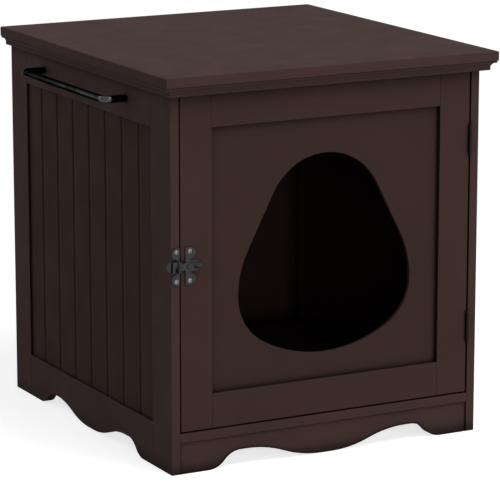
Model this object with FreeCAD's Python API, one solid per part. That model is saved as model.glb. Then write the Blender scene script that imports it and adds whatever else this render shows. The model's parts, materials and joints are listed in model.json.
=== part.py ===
import FreeCAD, Part
import math
import os

# Litter box cabinet with a hinged door, millimetres, +Z up, the door facing -Y.
# Everything is laid out about the middle of the body's footprint, with the feet on Z = 0.
# The finished pieces are then shifted so that the origin is the middle of the whole
# object's box, on the ground.

# ---- Body ---------------------------------------------------------------------------
BODY_WIDTH = 446.0            # across the outsides of the two side frames
BODY_DEPTH = 484.0            # front edge to rear edge of a side frame
CABINET_HEIGHT = 508.0        # ground to the top face

SIDE_BOARD = 12.0             # thickness of each kind of board
TOP_BOARD = 12.0
FLOOR_BOARD = 12.0
BACK_BOARD = 12.0
APRON_BOARD = 12.0
STRETCHER_BOARD = 12.0
DOOR_BOARD = 12.0

FLOOR_HEIGHT = 41.0           # ground to the underside of the floor panel
BACK_INSET = 4.0              # back panel, in from the rear edges of the sides
STRETCHER_DEPTH = 60.0
EDGE_EASE = 0.6               # small round on every edge that shows

# ---- Top and its moulding -----------------------------------------------------------
TOP_SIDE_OVERHANG = 16.0
TOP_FRONT_OVERHANG = 22.0
TOP_EDGE_ROUND = 1.6

MOULD_HEIGHT = 13.0
MOULD_REVEAL = 1.5            # moulding, in from the edge of the top
MOULD_LIP = 3.0               # upright face above the cove
COVE_RADIUS = 6.5

# ---- Side frames --------------------------------------------------------------------
SIDE_FRONT_STILE = 54.0
SIDE_REAR_STILE = 50.0
SIDE_TOP_RAIL = 60.0
SIDE_BOTTOM_RAIL = 57.5       # ground to the top edge of the bottom rail
BEADBOARD = 9.0
REBATE = 8.0                  # how far a panel reaches under its frame
PANEL_PLAY = 0.25             # round the edges of a panel in its rebate

FIRST_BEAD = 40.0             # front stile to the first groove
BEAD_PITCH = 49.4
GROOVE_WIDTH = 8.0
GROOVE_DEPTH = 1.3

SIDE_FOOT = 83.0              # flat foot, from the edge of the side
SIDE_RISE = 43.0
SIDE_CREST = 8.0
SIDE_SCALLOP = 19.5

APRON_FOOT = 40.0             # flat foot, from the inside of the side frame
APRON_RISE = 46.0
APRON_CREST = 8.0
APRON_SCALLOP = 21.5

LOBE_HALF = 8.0               # half of the flat under a middle lobe
LOBE_CLEARANCE = 1.0          # middle lobe, clear of the ground

# ---- Door ---------------------------------------------------------------------------
DOOR_TOP_GAP = 3.0
DOOR_BOTTOM_GAP = 2.0
DOOR_LATCH_GAP = 1.5
DOOR_STILE = 44.0
DOOR_BOTTOM_RAIL = 45.0
DOOR_TOP_RAIL = 41.6
DOOR_PANEL = 6.0

EGG_HALF_WIDTH = 125.3
EGG_BOTTOM = 78.0             # heights above the door's lower edge
EGG_WIDEST = 163.5
EGG_TOP = 337.6
EGG_TOP_RADIUS = 85.0
EGG_SIDE_RADIUS = 129.5
EGG_CORNER_RADIUS = 70.0

# ---- Hinges -------------------------------------------------------------------------
HINGE_LENGTH = 40.0
HINGE_INSET = 88.5            # door end to the middle of a hinge
HINGE_KNUCKLES = 5
KNUCKLE_GAP = 0.3
BARREL_RADIUS = 2.5
BARREL_CLEARANCE = 0.3        # barrel, clear of the front face
PIN_RADIUS = 1.2
PIN_FIT = 0.05
PIN_CAP = 1.2
LEAF_THICKNESS = 1.0
LEAF_DEPTH = 10.0
LEAF_GAP = 0.4                # between the two closed leaves
HINGE_SCREW_SPACING = 24.0
HINGE_SCREW_RADIUS = 1.25
HINGE_SCREW_HEAD = 2.2
HINGE_SCREW_LENGTH = 10.0

# ---- Latch --------------------------------------------------------------------------
PLATE_HEIGHT = 48.0
PLATE_THICKNESS = 1.2
PLATE_LOBE = 7.5              # radius of the end lobes
PLATE_MIDDLE_LOBE = 7.0       # radius of the middle lobe
PLATE_LOBE_STEP = 6.0         # end lobes, short of the middle one
BASE_PLATE_WIDTH = 20.5
BASE_PLATE_INSET = 6.3        # straight edge, in from the door's edge
BASE_SCREW_INSET = 6.4        # screws, from the plate's straight edge
STRIKE_PLATE_WIDTH = 17.6
STRIKE_SCREW_INSET = 4.6
PLATE_SCREW_SPACING = 37.4
PLATE_SCREW_RADIUS = 1.5
PLATE_SCREW_HEAD = 2.9
PLATE_SCREW_DOME = 1.1
PLATE_SCREW_LENGTH = 10.0

PIVOT_INSET = 3.1             # pivot, from the base plate's straight edge
PIVOT_RADIUS = 1.6
PIVOT_HEAD = 2.9
PIVOT_DOME = 1.6
PIVOT_COLLAR = 2.7
ARM_THICKNESS = 1.6
ARM_LIFT = 1.5                # arm, clear of the plates
ARM_AXIAL_GAP = 0.3           # arm, clear of the collar and of the rivet's head
ARM_HUB = 4.6
ARM_HEIGHT = 9.0
ARM_HEAD_HEIGHT = 14.0
ARM_HEAD_OVERREACH = 4.4      # head, past the keeper
ARM_NECK = 7.6                # keeper to the inner end of the head
BEAD_RADIUS = 2.2
BEAD_HEIGHT = 15.0
BEAD_OFFSET = 4.6             # raised bead, from the keeper
KEEPER_INSET = 6.6            # keeper, from the strike plate's straight edge
KEEPER_RADIUS = 1.8
KEEPER_SLACK = 0.35           # slot, wider than the keeper each way, and deeper
SLOT_TURN = 40.0              # degrees of arc that the hook's slot covers
TAB_HEIGHT = 7.0
TAB_START = 9.6               # start of the thumb trough, from the pivot
TAB_LENGTH = 8.0
TAB_RADIUS = 3.6
TAB_RISE = 1.0                # rim of the trough, above the pivot

# ---- Towel bar ----------------------------------------------------------------------
BAR_RADIUS = 4.75
BAR_BEND = 10.0
BAR_STANDOFF = 30.0           # side frame to the middle of the bar
BAR_FIRST_LEG = 124.0         # front edge of the side to the first leg
BAR_SPAN = 250.0
BAR_DROP = 34.0               # underside of the top to the middle of the bar
BAR_SCREW_RADIUS = 2.0
BAR_SCREW_BITE = 12.0
BAR_SCREW_HEAD = 3.8
BAR_SCREW_HEAD_HEIGHT = 2.4

# ---- Hidden joinery -----------------------------------------------------------------
DOWEL_RADIUS = 3.0
DOWEL_HALF = 18.0             # into the edge of a board
DOWEL_BITE = 8.0              # into the face of a board
FIRST_DOWEL = 13.0            # from the outer edge of a rail
DOWEL_PITCH = 14.0
STRETCHER_DOWEL_PITCH = 30.0
BOTTOM_DOWEL_PITCH = 20.0
TOP_DOWEL_PITCH = 32.0
APRON_DOWEL_PITCH = 16.0
ROW_DOWEL_SPACING = 120.0
APRON_ROW_SPACING = 60.0
JOINERY_PLAY = 0.1            # round a dowel, cam, bolt or screw in its hole

CAM_RADIUS = 6.0
CAM_WALL = 0.8                # cam, behind its pocket
CAM_SETBACK = 24.0            # board end to the cam's axis
CAM_POCKET = 3.3
CAM_CROSS_WIDTH = 1.4
CAM_CROSS_LENGTH = 8.0
CAM_CROSS_DEPTH = 2.0
BOLT_RADIUS = 3.0
BOLT_BITE = 8.5
BOLT_OVERRUN = 2.0            # bolt, past the cam's axis
TOP_CAM_INSET = 25.0          # from the front and rear edges of a side
FLOOR_CAM_INSET = 20.0        # from the front and rear edges of the floor
BACK_CAM_INSET = 97.0         # from the lower and upper edges of the back

WOOD_SCREW_RADIUS = 1.75
WOOD_SCREW_HEAD = 3.5
WOOD_SCREW_LENGTH = 20.0
STRETCHER_SCREW_SPACING = 150.0
STRETCHER_SCREW_INSET = 18.0  # from the stretcher's rear edge

STOP_WIDTH = 40.0
STOP_DEPTH = 12.0
STOP_HEIGHT = 15.0
STOP_INSET = 14.0             # from the side frame
STOP_GAP = 0.3                # behind the door
STOP_SCREW_SPACING = 22.0

# ---- Levels and planes worked out from the sizes ------------------------------------
outer_x = BODY_WIDTH / 2
inner_x = outer_x - SIDE_BOARD
front_y = -BODY_DEPTH / 2
rear_y = BODY_DEPTH / 2
top_under = CABINET_HEIGHT - TOP_BOARD
mould_under = top_under - MOULD_HEIGHT
floor_top = FLOOR_HEIGHT + FLOOR_BOARD
stretcher_under = top_under - STRETCHER_BOARD
back_rear = rear_y - BACK_INSET
back_front = back_rear - BACK_BOARD

hinge_gap = 2 * LEAF_THICKNESS + LEAF_GAP
door_left = -inner_x + DOOR_LATCH_GAP
door_right = inner_x - hinge_gap
door_low = floor_top + DOOR_BOTTOM_GAP
door_high = stretcher_under - DOOR_TOP_GAP
door_rear = front_y + DOOR_BOARD
door_middle_x = (door_left + door_right) / 2
door_middle_z = (door_low + door_high) / 2

pin_x = inner_x - hinge_gap / 2
pin_y = front_y - BARREL_CLEARANCE - BARREL_RADIUS

# The whole object reaches from the towel bar to the right edge of the top,
# and from the front edge of the top to the rear edges.
left_reach = outer_x + max(TOP_SIDE_OVERHANG, BAR_STANDOFF + BAR_RADIUS)
right_reach = outer_x + TOP_SIDE_OVERHANG
front_reach = BODY_DEPTH / 2 + TOP_FRONT_OVERHANG
rear_reach = BODY_DEPTH / 2
ORIGIN_SHIFT = FreeCAD.Vector((left_reach - right_reach) / 2, (front_reach - rear_reach) / 2, 0)

X_AXIS = FreeCAD.Vector(1, 0, 0)
Y_AXIS = FreeCAD.Vector(0, 1, 0)
Z_AXIS = FreeCAD.Vector(0, 0, 1)
FLAT = 1e-6                   # how far off a plane an edge may lie and still be on it
FULL_TURN = 360.0

pieces = {}


# ---- Shared shapes ------------------------------------------------------------------
def point(x, y, z):
    return FreeCAD.Vector(x, y, z)


def block(x, y, z):
    """A board between two places along each axis."""
    return Part.makeBox(x[1] - x[0], y[1] - y[0], z[1] - z[0], point(x[0], y[0], z[0]))


def rod(radius, start, direction, length):
    return Part.makeCylinder(radius, length, start, direction)


def mirror_x(shape):
    return shape.mirror(point(0, 0, 0), X_AXIS)


def line(a, b):
    return Part.LineSegment(a, b).toShape()


def arc(a, middle, b):
    return Part.Arc(a, middle, b).toShape()


def prism(edges, direction):
    """The closed outline, swept straight along a direction."""
    return Part.Face(Part.Wire(edges)).extrude(direction)


def eased(shape, planes):
    """Round every edge that lies in one of the planes, each given as an axis and its place."""
    chosen = []
    for edge in shape.Edges:
        for axis, place in planes:
            if all(abs(getattr(vertex.Point, axis) - place) < FLAT for vertex in edge.Vertexes):
                chosen.append(edge)
                break
    return shape.makeFillet(EDGE_EASE, chosen)


def cut_from(names, cutter):
    for name in names:
        pieces[name] = pieces[name].cut(cutter)


def group(name, solid):
    pieces.setdefault(name, []).append(solid)


# ---- Fasteners ----------------------------------------------------------------------
def add_dowel(name, boards, centre, direction, before, after):
    """A dowel across a joint, reaching a stated way each side of its centre."""
    start = centre - direction * before
    group(name, rod(DOWEL_RADIUS, start, direction, before + after))
    hole = rod(DOWEL_RADIUS + JOINERY_PLAY, start - direction * JOINERY_PLAY, direction,
               before + after + 2 * JOINERY_PLAY)
    cut_from(boards, hole)


def add_cam(cam_board, bolt_board, cam_face, cam_into, bolt_direction, cam_middle):
    """A cam lock let into a board's face, and the bolt that runs from it into the next board."""
    depth = (cam_middle - cam_face).dot(cam_into) + CAM_POCKET + CAM_WALL
    group("cam_locks", cam_lock(cam_face, cam_into, depth, bolt_direction, cam_middle))
    bolt_start = cam_middle - bolt_direction * BOLT_OVERRUN
    bolt_length = BOLT_OVERRUN + CAM_SETBACK + BOLT_BITE
    group("cam_bolts", rod(BOLT_RADIUS, bolt_start, bolt_direction, bolt_length))
    cut_from([cam_board], rod(CAM_RADIUS + JOINERY_PLAY, cam_face, cam_into, depth + JOINERY_PLAY))
    cut_from([cam_board, bolt_board], rod(BOLT_RADIUS + JOINERY_PLAY, cam_middle, bolt_direction,
                                          CAM_SETBACK + BOLT_BITE + JOINERY_PLAY))


def cam_lock(face, into, depth, bolt_direction, middle):
    """A round cam with a pocket for its bolt and a cross recess in its face."""
    body = rod(CAM_RADIUS, face, into, depth)
    pocket_start = middle - bolt_direction * (BOLT_OVERRUN + JOINERY_PLAY)
    body = body.cut(rod(CAM_POCKET, pocket_start, bolt_direction, CAM_SETBACK))
    across = into.cross(bolt_direction)
    for long_way, short_way in ((bolt_direction, across), (across, bolt_direction)):
        corner = face - long_way * (CAM_CROSS_LENGTH / 2) - short_way * (CAM_CROSS_WIDTH / 2)
        outline = [corner,
                   corner + long_way * CAM_CROSS_LENGTH,
                   corner + long_way * CAM_CROSS_LENGTH + short_way * CAM_CROSS_WIDTH,
                   corner + short_way * CAM_CROSS_WIDTH]
        edges = [line(outline[i], outline[(i + 1) % len(outline)]) for i in range(len(outline))]
        body = body.cut(prism(edges, into * CAM_CROSS_DEPTH))
    return body


def countersunk_screw(head, into, radius, head_radius, length):
    """A flat-headed screw whose head is flush with the face it is driven into."""
    cone = Part.makeCone(head_radius, radius, head_radius - radius, head, into)
    return cone.fuse(rod(radius, head, into, length)).removeSplitter()


def domed_screw(seat, into, radius, head_radius, dome, length):
    """A level screw whose domed head, part of a ball, stands on the face."""
    ball_radius = (head_radius ** 2 + dome ** 2) / (2 * dome)
    middle = seat + into * (ball_radius - dome)
    across = into.cross(Z_AXIS)
    tilt = math.asin(head_radius / ball_radius) / 2
    rim = seat + across * head_radius
    shoulder = middle + across * (ball_radius * math.sin(tilt)) - into * (ball_radius * math.cos(tilt))
    crown = seat - into * dome
    section = Part.Face(Part.Wire([line(seat, rim), arc(rim, shoulder, crown), line(crown, seat)]))
    head = section.revolve(seat, into, FULL_TURN)
    return head.fuse(rod(radius, seat, into, length)).removeSplitter()


def add_wood_screw(name, boards, head, into):
    group(name, countersunk_screw(head, into, WOOD_SCREW_RADIUS, WOOD_SCREW_HEAD, WOOD_SCREW_LENGTH))
    cut_from(boards, countersunk_screw(head, into, WOOD_SCREW_RADIUS + JOINERY_PLAY,
                                       WOOD_SCREW_HEAD + JOINERY_PLAY, WOOD_SCREW_LENGTH + JOINERY_PLAY))


# ---- Scalloped edges ----------------------------------------------------------------
def wave(start, end):
    """An S curve of two equal arcs, level at both ends, as triples of points for arcs."""
    run = end[0] - start[0]
    rise = end[1] - start[1]
    radius = (run ** 2 + rise ** 2) / (4 * abs(rise))
    half_turn = math.asin(run / 2 / radius) / 2
    sag = math.copysign(radius * (1 - math.cos(half_turn)), rise)
    near = (start[0] + radius * math.sin(half_turn), start[1] + sag)
    far = (start[0] + end[0] - near[0], start[1] + end[1] - near[1])
    middle = ((start[0] + end[0]) / 2, (start[1] + end[1]) / 2)
    return [(start, near, middle), (middle, far, end)]


def scalloped_board(length, foot, rise, crest, scallop, height, place, thickness):
    """A rail on two feet, its lower edge waved up to a crest and down to a middle lobe.

    place(u, v) turns a distance along the rail and a height into a point.
    """
    half = length / 2
    crest_start = foot + rise
    crest_end = crest_start + crest
    lobe_start = half - LOBE_HALF
    left = wave((foot, 0), (crest_start, scallop)) + wave((crest_end, scallop), (lobe_start, LOBE_CLEARANCE))
    right = [tuple((length - u, v) for u, v in reversed(triple)) for triple in reversed(left)]
    edges = [line(place(0, 0), place(foot, 0))]
    last = (foot, 0)
    for triple in left + right:
        if triple[0] != last:
            edges.append(line(place(*last), place(*triple[0])))
        edges.append(arc(*[place(u, v) for u, v in triple]))
        last = triple[2]
    corners = [last, (length, 0), (length, height), (0, height), (0, 0)]
    edges += [line(place(*a), place(*b)) for a, b in zip(corners, corners[1:])]
    return prism(edges, thickness)


# ---- Top and mouldings --------------------------------------------------------------
def make_top():
    slab = block((-outer_x - TOP_SIDE_OVERHANG, outer_x + TOP_SIDE_OVERHANG),
                 (front_y - TOP_FRONT_OVERHANG, rear_y), (top_under, CABINET_HEIGHT))
    under = [edge for edge in slab.Edges
             if all(abs(vertex.Point.z - top_under) < FLAT for vertex in edge.Vertexes)]
    rest = [edge for edge in slab.Edges if not any(edge.isSame(low) for low in under)]
    slab = slab.makeFillet(TOP_EDGE_ROUND, rest)
    pieces["top_panel"] = slab


def mould_edges(reach, place):
    """The moulding's section: wall face, underside, upright, cove, lip and top face."""
    base = reach - COVE_RADIUS
    lip_low = top_under - MOULD_LIP
    cove_low = lip_low - COVE_RADIUS
    diagonal = COVE_RADIUS * math.sqrt(0.5)
    return [line(place(0, mould_under), place(base, mould_under)),
            line(place(base, mould_under), place(base, cove_low)),
            arc(place(base, cove_low), place(reach - diagonal, cove_low + diagonal), place(reach, lip_low)),
            line(place(reach, lip_low), place(reach, top_under)),
            line(place(reach, top_under), place(0, top_under)),
            line(place(0, top_under), place(0, mould_under))]


def make_mouldings():
    """Cove mouldings on the front and both sides, mitred where they meet."""
    side_reach = TOP_SIDE_OVERHANG - MOULD_REVEAL
    front_reach_out = TOP_FRONT_OVERHANG - MOULD_REVEAL
    tip_x = outer_x + side_reach
    tip_y = front_y - front_reach_out

    side = prism(mould_edges(side_reach, lambda out, z: point(outer_x + out, tip_y, z)),
                 Y_AXIS * (rear_y - tip_y))
    front = prism(mould_edges(front_reach_out, lambda out, z: point(-tip_x, front_y - out, z)),
                  X_AXIS * (2 * tip_x))

    # The mitre is a 45 degree plane through the outer corner.
    heel_y = tip_y + side_reach
    corner = [point(outer_x, heel_y, mould_under), point(tip_x, tip_y, mould_under)]
    front_waste = prism([line(corner[0], corner[1]),
                         line(corner[1], point(tip_x, front_y, mould_under)),
                         line(point(tip_x, front_y, mould_under), point(outer_x, front_y, mould_under)),
                         line(point(outer_x, front_y, mould_under), corner[0])], Z_AXIS * MOULD_HEIGHT)
    side_waste = prism([line(corner[0], corner[1]),
                        line(corner[1], point(outer_x, tip_y, mould_under)),
                        line(point(outer_x, tip_y, mould_under), corner[0])], Z_AXIS * MOULD_HEIGHT)
    side = side.cut(side_waste)
    front = front.cut(front_waste).cut(mirror_x(front_waste))
    pieces["front_moulding"] = front
    pieces["right_moulding"] = side
    pieces["left_moulding"] = mirror_x(side)


# ---- Sides --------------------------------------------------------------------------
def make_side(hand):
    """One side frame, made as the left one and mirrored for the right."""
    x = (-outer_x, -inner_x)
    outer = [("x", -outer_x)]
    stile_front = (front_y, front_y + SIDE_FRONT_STILE)
    stile_rear = (rear_y - SIDE_REAR_STILE, rear_y)
    rail_y = (stile_front[1], stile_rear[0])
    opening_low = SIDE_BOTTOM_RAIL
    opening_high = top_under - SIDE_TOP_RAIL
    panel_x = (-inner_x - BEADBOARD, -inner_x)

    # The wave is centred on the side; the rail is what lies between the two stiles.
    wave_board = scalloped_board(BODY_DEPTH, SIDE_FOOT, SIDE_RISE, SIDE_CREST, SIDE_SCALLOP,
                                 SIDE_BOTTOM_RAIL, lambda u, v: point(-outer_x, front_y + u, v),
                                 X_AXIS * SIDE_BOARD)
    frame = {
        "front_stile": eased(block(x, stile_front, (0, top_under)), outer + [("y", front_y)]),
        "rear_stile": eased(block(x, stile_rear, (0, top_under)), outer + [("y", rear_y)]),
        "top_rail": eased(block(x, rail_y, (opening_high, top_under)), outer),
        "bottom_rail": eased(
            wave_board.common(block(x, rail_y, (0, SIDE_BOTTOM_RAIL))), outer),
    }
    pocket = block(panel_x, (rail_y[0] - REBATE - PANEL_PLAY, rail_y[1] + REBATE + PANEL_PLAY),
                   (opening_low - REBATE - PANEL_PLAY, opening_high + REBATE + PANEL_PLAY))
    for name in frame:
        frame[name] = frame[name].cut(pocket)

    panel_low = opening_low - REBATE
    panel_high = opening_high + REBATE
    panel = block(panel_x, (rail_y[0] - REBATE, rail_y[1] + REBATE), (panel_low, panel_high))
    groove_y = rail_y[0] + FIRST_BEAD
    while groove_y + GROOVE_WIDTH / 2 < rail_y[1]:
        groove = [point(panel_x[0], groove_y - GROOVE_WIDTH / 2, panel_low),
                  point(panel_x[0], groove_y + GROOVE_WIDTH / 2, panel_low),
                  point(panel_x[0] + GROOVE_DEPTH, groove_y, panel_low)]
        edges = [line(groove[i], groove[(i + 1) % len(groove)]) for i in range(len(groove))]
        panel = panel.cut(prism(edges, Z_AXIS * (panel_high - panel_low)))
        groove_y += BEAD_PITCH
    frame["beadboard"] = panel

    for name, shape in frame.items():
        pieces[hand + "_" + name] = mirror_x(shape) if hand == "right" else shape
    add_side_dowels(hand, rail_y)


def add_side_dowels(hand, rail_y):
    """Dowels across the four frame joints of a side."""
    sign = 1 if hand == "right" else -1
    middle_x = sign * (outer_x - SIDE_BOARD / 2)
    rails = (("bottom_rail", FIRST_DOWEL, BOTTOM_DOWEL_PITCH),
             ("top_rail", top_under - FIRST_DOWEL, -TOP_DOWEL_PITCH))
    stiles = (("front_stile", rail_y[0]), ("rear_stile", rail_y[1]))
    for rail, first, pitch in rails:
        for stile, joint_y in stiles:
            for count in range(2):
                centre = point(middle_x, joint_y, first + count * pitch)
                add_dowel("cabinet_dowels", [hand + "_" + rail, hand + "_" + stile],
                          centre, Y_AXIS, DOWEL_HALF, DOWEL_HALF)


# ---- Boards between the sides -------------------------------------------------------
def make_inner_boards():
    across = (-inner_x, inner_x)
    front = [("y", front_y)]
    pieces["floor_panel"] = eased(block(across, (front_y, back_front), (FLOOR_HEIGHT, floor_top)), front)
    pieces["back_panel"] = block(across, (back_front, back_rear), (FLOOR_HEIGHT, top_under))
    pieces["front_stretcher"] = block(across, (front_y, front_y + STRETCHER_DEPTH),
                                      (stretcher_under, top_under))
    pieces["front_apron"] = eased(
        scalloped_board(2 * inner_x, APRON_FOOT, APRON_RISE, APRON_CREST, APRON_SCALLOP, FLOOR_HEIGHT,
                        lambda u, v: point(-inner_x + u, front_y, v), Y_AXIS * APRON_BOARD), front)
    stop_x = -inner_x + STOP_INSET
    stop_y = door_rear + STOP_GAP
    pieces["door_stop"] = block((stop_x, stop_x + STOP_WIDTH), (stop_y, stop_y + STOP_DEPTH),
                                (stretcher_under - STOP_HEIGHT, stretcher_under))


def join_inner_boards():
    """Cams, dowels and screws that hold the boards to the sides and to each other."""
    stretcher_z = top_under - STRETCHER_BOARD / 2
    back_y = (back_front + back_rear) / 2
    floor_z = FLOOR_HEIGHT + FLOOR_BOARD / 2
    apron_y = front_y + APRON_BOARD / 2
    for sign, hand in ((-1, "left"), (1, "right")):
        side_x = sign * (outer_x - SIDE_BOARD / 2)
        face_x = sign * inner_x
        cam_x = sign * (inner_x - CAM_SETBACK)
        outward = X_AXIS * sign
        for end, cam_y in (("front", front_y + TOP_CAM_INSET), ("rear", rear_y - TOP_CAM_INSET)):
            add_cam(hand + "_" + end + "_stile", "top_panel",
                    point(face_x, cam_y, top_under - CAM_SETBACK), outward,
                    Z_AXIS, point(side_x, cam_y, top_under - CAM_SETBACK))
        for end, cam_y in (("front", front_y + FLOOR_CAM_INSET), ("rear", back_front - FLOOR_CAM_INSET)):
            add_cam("floor_panel", hand + "_" + end + "_stile",
                    point(cam_x, cam_y, FLOOR_HEIGHT), Z_AXIS, outward, point(cam_x, cam_y, floor_z))
        for cam_z in (FLOOR_HEIGHT + BACK_CAM_INSET, top_under - BACK_CAM_INSET):
            add_cam("back_panel", hand + "_rear_stile",
                    point(cam_x, back_rear, cam_z), -Y_AXIS, outward, point(cam_x, back_y, cam_z))
        for count in range(2):
            stretcher_y = front_y + FIRST_DOWEL + count * STRETCHER_DOWEL_PITCH
            add_dowel("cabinet_dowels", ["front_stretcher", hand + "_front_stile"],
                      point(face_x, stretcher_y, stretcher_z), outward, DOWEL_HALF, DOWEL_BITE)
            apron_z = FIRST_DOWEL + count * APRON_DOWEL_PITCH
            add_dowel("cabinet_dowels", ["front_apron", hand + "_front_stile"],
                      point(face_x, apron_y, apron_z), outward, DOWEL_HALF, DOWEL_BITE)
        add_dowel("cabinet_dowels", ["front_apron", "floor_panel"],
                  point(sign * APRON_ROW_SPACING, apron_y, FLOOR_HEIGHT), Z_AXIS, DOWEL_BITE, DOWEL_BITE)
    for step in (-1, 0, 1):
        row_x = step * ROW_DOWEL_SPACING
        add_dowel("cabinet_dowels", ["floor_panel", "back_panel"],
                  point(row_x, back_front, floor_z), Y_AXIS, DOWEL_HALF, DOWEL_BITE)
        add_dowel("cabinet_dowels", ["back_panel", "top_panel"],
                  point(row_x, back_y, top_under), Z_AXIS, DOWEL_HALF, DOWEL_BITE)
        screw_y = front_y + STRETCHER_DEPTH - STRETCHER_SCREW_INSET
        add_wood_screw("stretcher_screws", ["front_stretcher", "top_panel"],
                       point(step * STRETCHER_SCREW_SPACING, screw_y, stretcher_under), Z_AXIS)
    for step in (-1, 1):
        screw_x = -inner_x + STOP_INSET + STOP_WIDTH / 2 + step * STOP_SCREW_SPACING / 2
        screw_y = door_rear + STOP_GAP + STOP_DEPTH / 2
        add_wood_screw("door_stop_screws", ["door_stop", "front_stretcher"],
                       point(screw_x, screw_y, stretcher_under - STOP_HEIGHT), Z_AXIS)


# ---- Towel bar ----------------------------------------------------------------------
def make_towel_bar():
    """A rod bent square at both ends, screwed on from inside the side frame."""
    bar_z = top_under - BAR_DROP
    near_y = front_y + BAR_FIRST_LEG
    far_y = near_y + BAR_SPAN
    out_x = -outer_x - BAR_STANDOFF
    inset = BAR_BEND * (1 - math.sqrt(0.5))
    path = Part.Wire([
        line(point(-outer_x, near_y, bar_z), point(out_x + BAR_BEND, near_y, bar_z)),
        arc(point(out_x + BAR_BEND, near_y, bar_z), point(out_x + inset, near_y + inset, bar_z),
            point(out_x, near_y + BAR_BEND, bar_z)),
        line(point(out_x, near_y + BAR_BEND, bar_z), point(out_x, far_y - BAR_BEND, bar_z)),
        arc(point(out_x, far_y - BAR_BEND, bar_z), point(out_x + inset, far_y - inset, bar_z),
            point(out_x + BAR_BEND, far_y, bar_z)),
        line(point(out_x + BAR_BEND, far_y, bar_z), point(-outer_x, far_y, bar_z)),
    ])
    section = Part.Wire([Part.Circle(point(-outer_x, near_y, bar_z), X_AXIS, BAR_RADIUS).toShape()])
    bar = path.makePipeShell([section], True, False)
    for leg_y in (near_y, far_y):
        head_seat = point(-inner_x, leg_y, bar_z)
        length = SIDE_BOARD + BAR_SCREW_BITE
        shank = rod(BAR_SCREW_RADIUS, head_seat, -X_AXIS, length)
        head = rod(BAR_SCREW_HEAD, head_seat, X_AXIS, BAR_SCREW_HEAD_HEIGHT)
        group("towel_bar_screws", shank.fuse(head).removeSplitter())
        hole = rod(BAR_SCREW_RADIUS + JOINERY_PLAY, head_seat, -X_AXIS, length + JOINERY_PLAY)
        bar = bar.cut(hole)
        cut_from(["left_top_rail"], hole)
    pieces["towel_bar"] = bar


# ---- Door ---------------------------------------------------------------------------
def egg_edges(middle_x, base_z, y):
    """The entrance hole: a crown, two straight flanks, two round sides and a shallow sill.

    Each stretch is tangent to the next.
    """
    crown_z = base_z + EGG_TOP - EGG_TOP_RADIUS
    widest_z = base_z + EGG_WIDEST
    side_x = EGG_HALF_WIDTH - EGG_SIDE_RADIUS
    corner_x = EGG_HALF_WIDTH - EGG_CORNER_RADIUS

    # The flank touches the crown's circle and the side's circle; its slope is the
    # direction square to it, seen from both centres.
    apart = math.hypot(side_x, crown_z - widest_z)
    slope = math.asin((EGG_SIDE_RADIUS - EGG_TOP_RADIUS) / apart) + math.atan2(side_x, crown_z - widest_z)

    # The sill's circle passes through the lowest point and touches the corner's circle inside.
    drop = EGG_WIDEST - EGG_BOTTOM
    sill_radius = (drop ** 2 + corner_x ** 2 - EGG_CORNER_RADIUS ** 2) / (2 * (drop - EGG_CORNER_RADIUS))
    sill_z = base_z + EGG_BOTTOM + sill_radius
    turn = math.atan2(sill_z - widest_z, corner_x)

    def on_circle(centre_x, centre_z, radius, angle):
        return centre_x + radius * math.cos(angle), centre_z + radius * math.sin(angle)

    def at(place, side):
        return point(middle_x + side * place[0], y, place[1])

    flank_top = on_circle(0, crown_z, EGG_TOP_RADIUS, slope)
    flank_low = on_circle(side_x, widest_z, EGG_SIDE_RADIUS, slope)
    side_mid = on_circle(side_x, widest_z, EGG_SIDE_RADIUS, slope / 2)
    widest = (EGG_HALF_WIDTH, widest_z)
    corner_mid = on_circle(corner_x, widest_z, EGG_CORNER_RADIUS, -turn / 2)
    corner_end = on_circle(corner_x, widest_z, EGG_CORNER_RADIUS, -turn)
    edges = [arc(at(flank_top, 1), point(middle_x, y, base_z + EGG_TOP), at(flank_top, -1))]
    for side in (-1, 1):
        edges.append(line(at(flank_top, side), at(flank_low, side)))
        edges.append(arc(at(flank_low, side), at(side_mid, side), at(widest, side)))
        edges.append(arc(at(widest, side), at(corner_mid, side), at(corner_end, side)))
    edges.append(arc(at(corner_end, -1), point(middle_x, y, base_z + EGG_BOTTOM), at(corner_end, 1)))
    return Part.__sortEdges__(edges)


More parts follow.
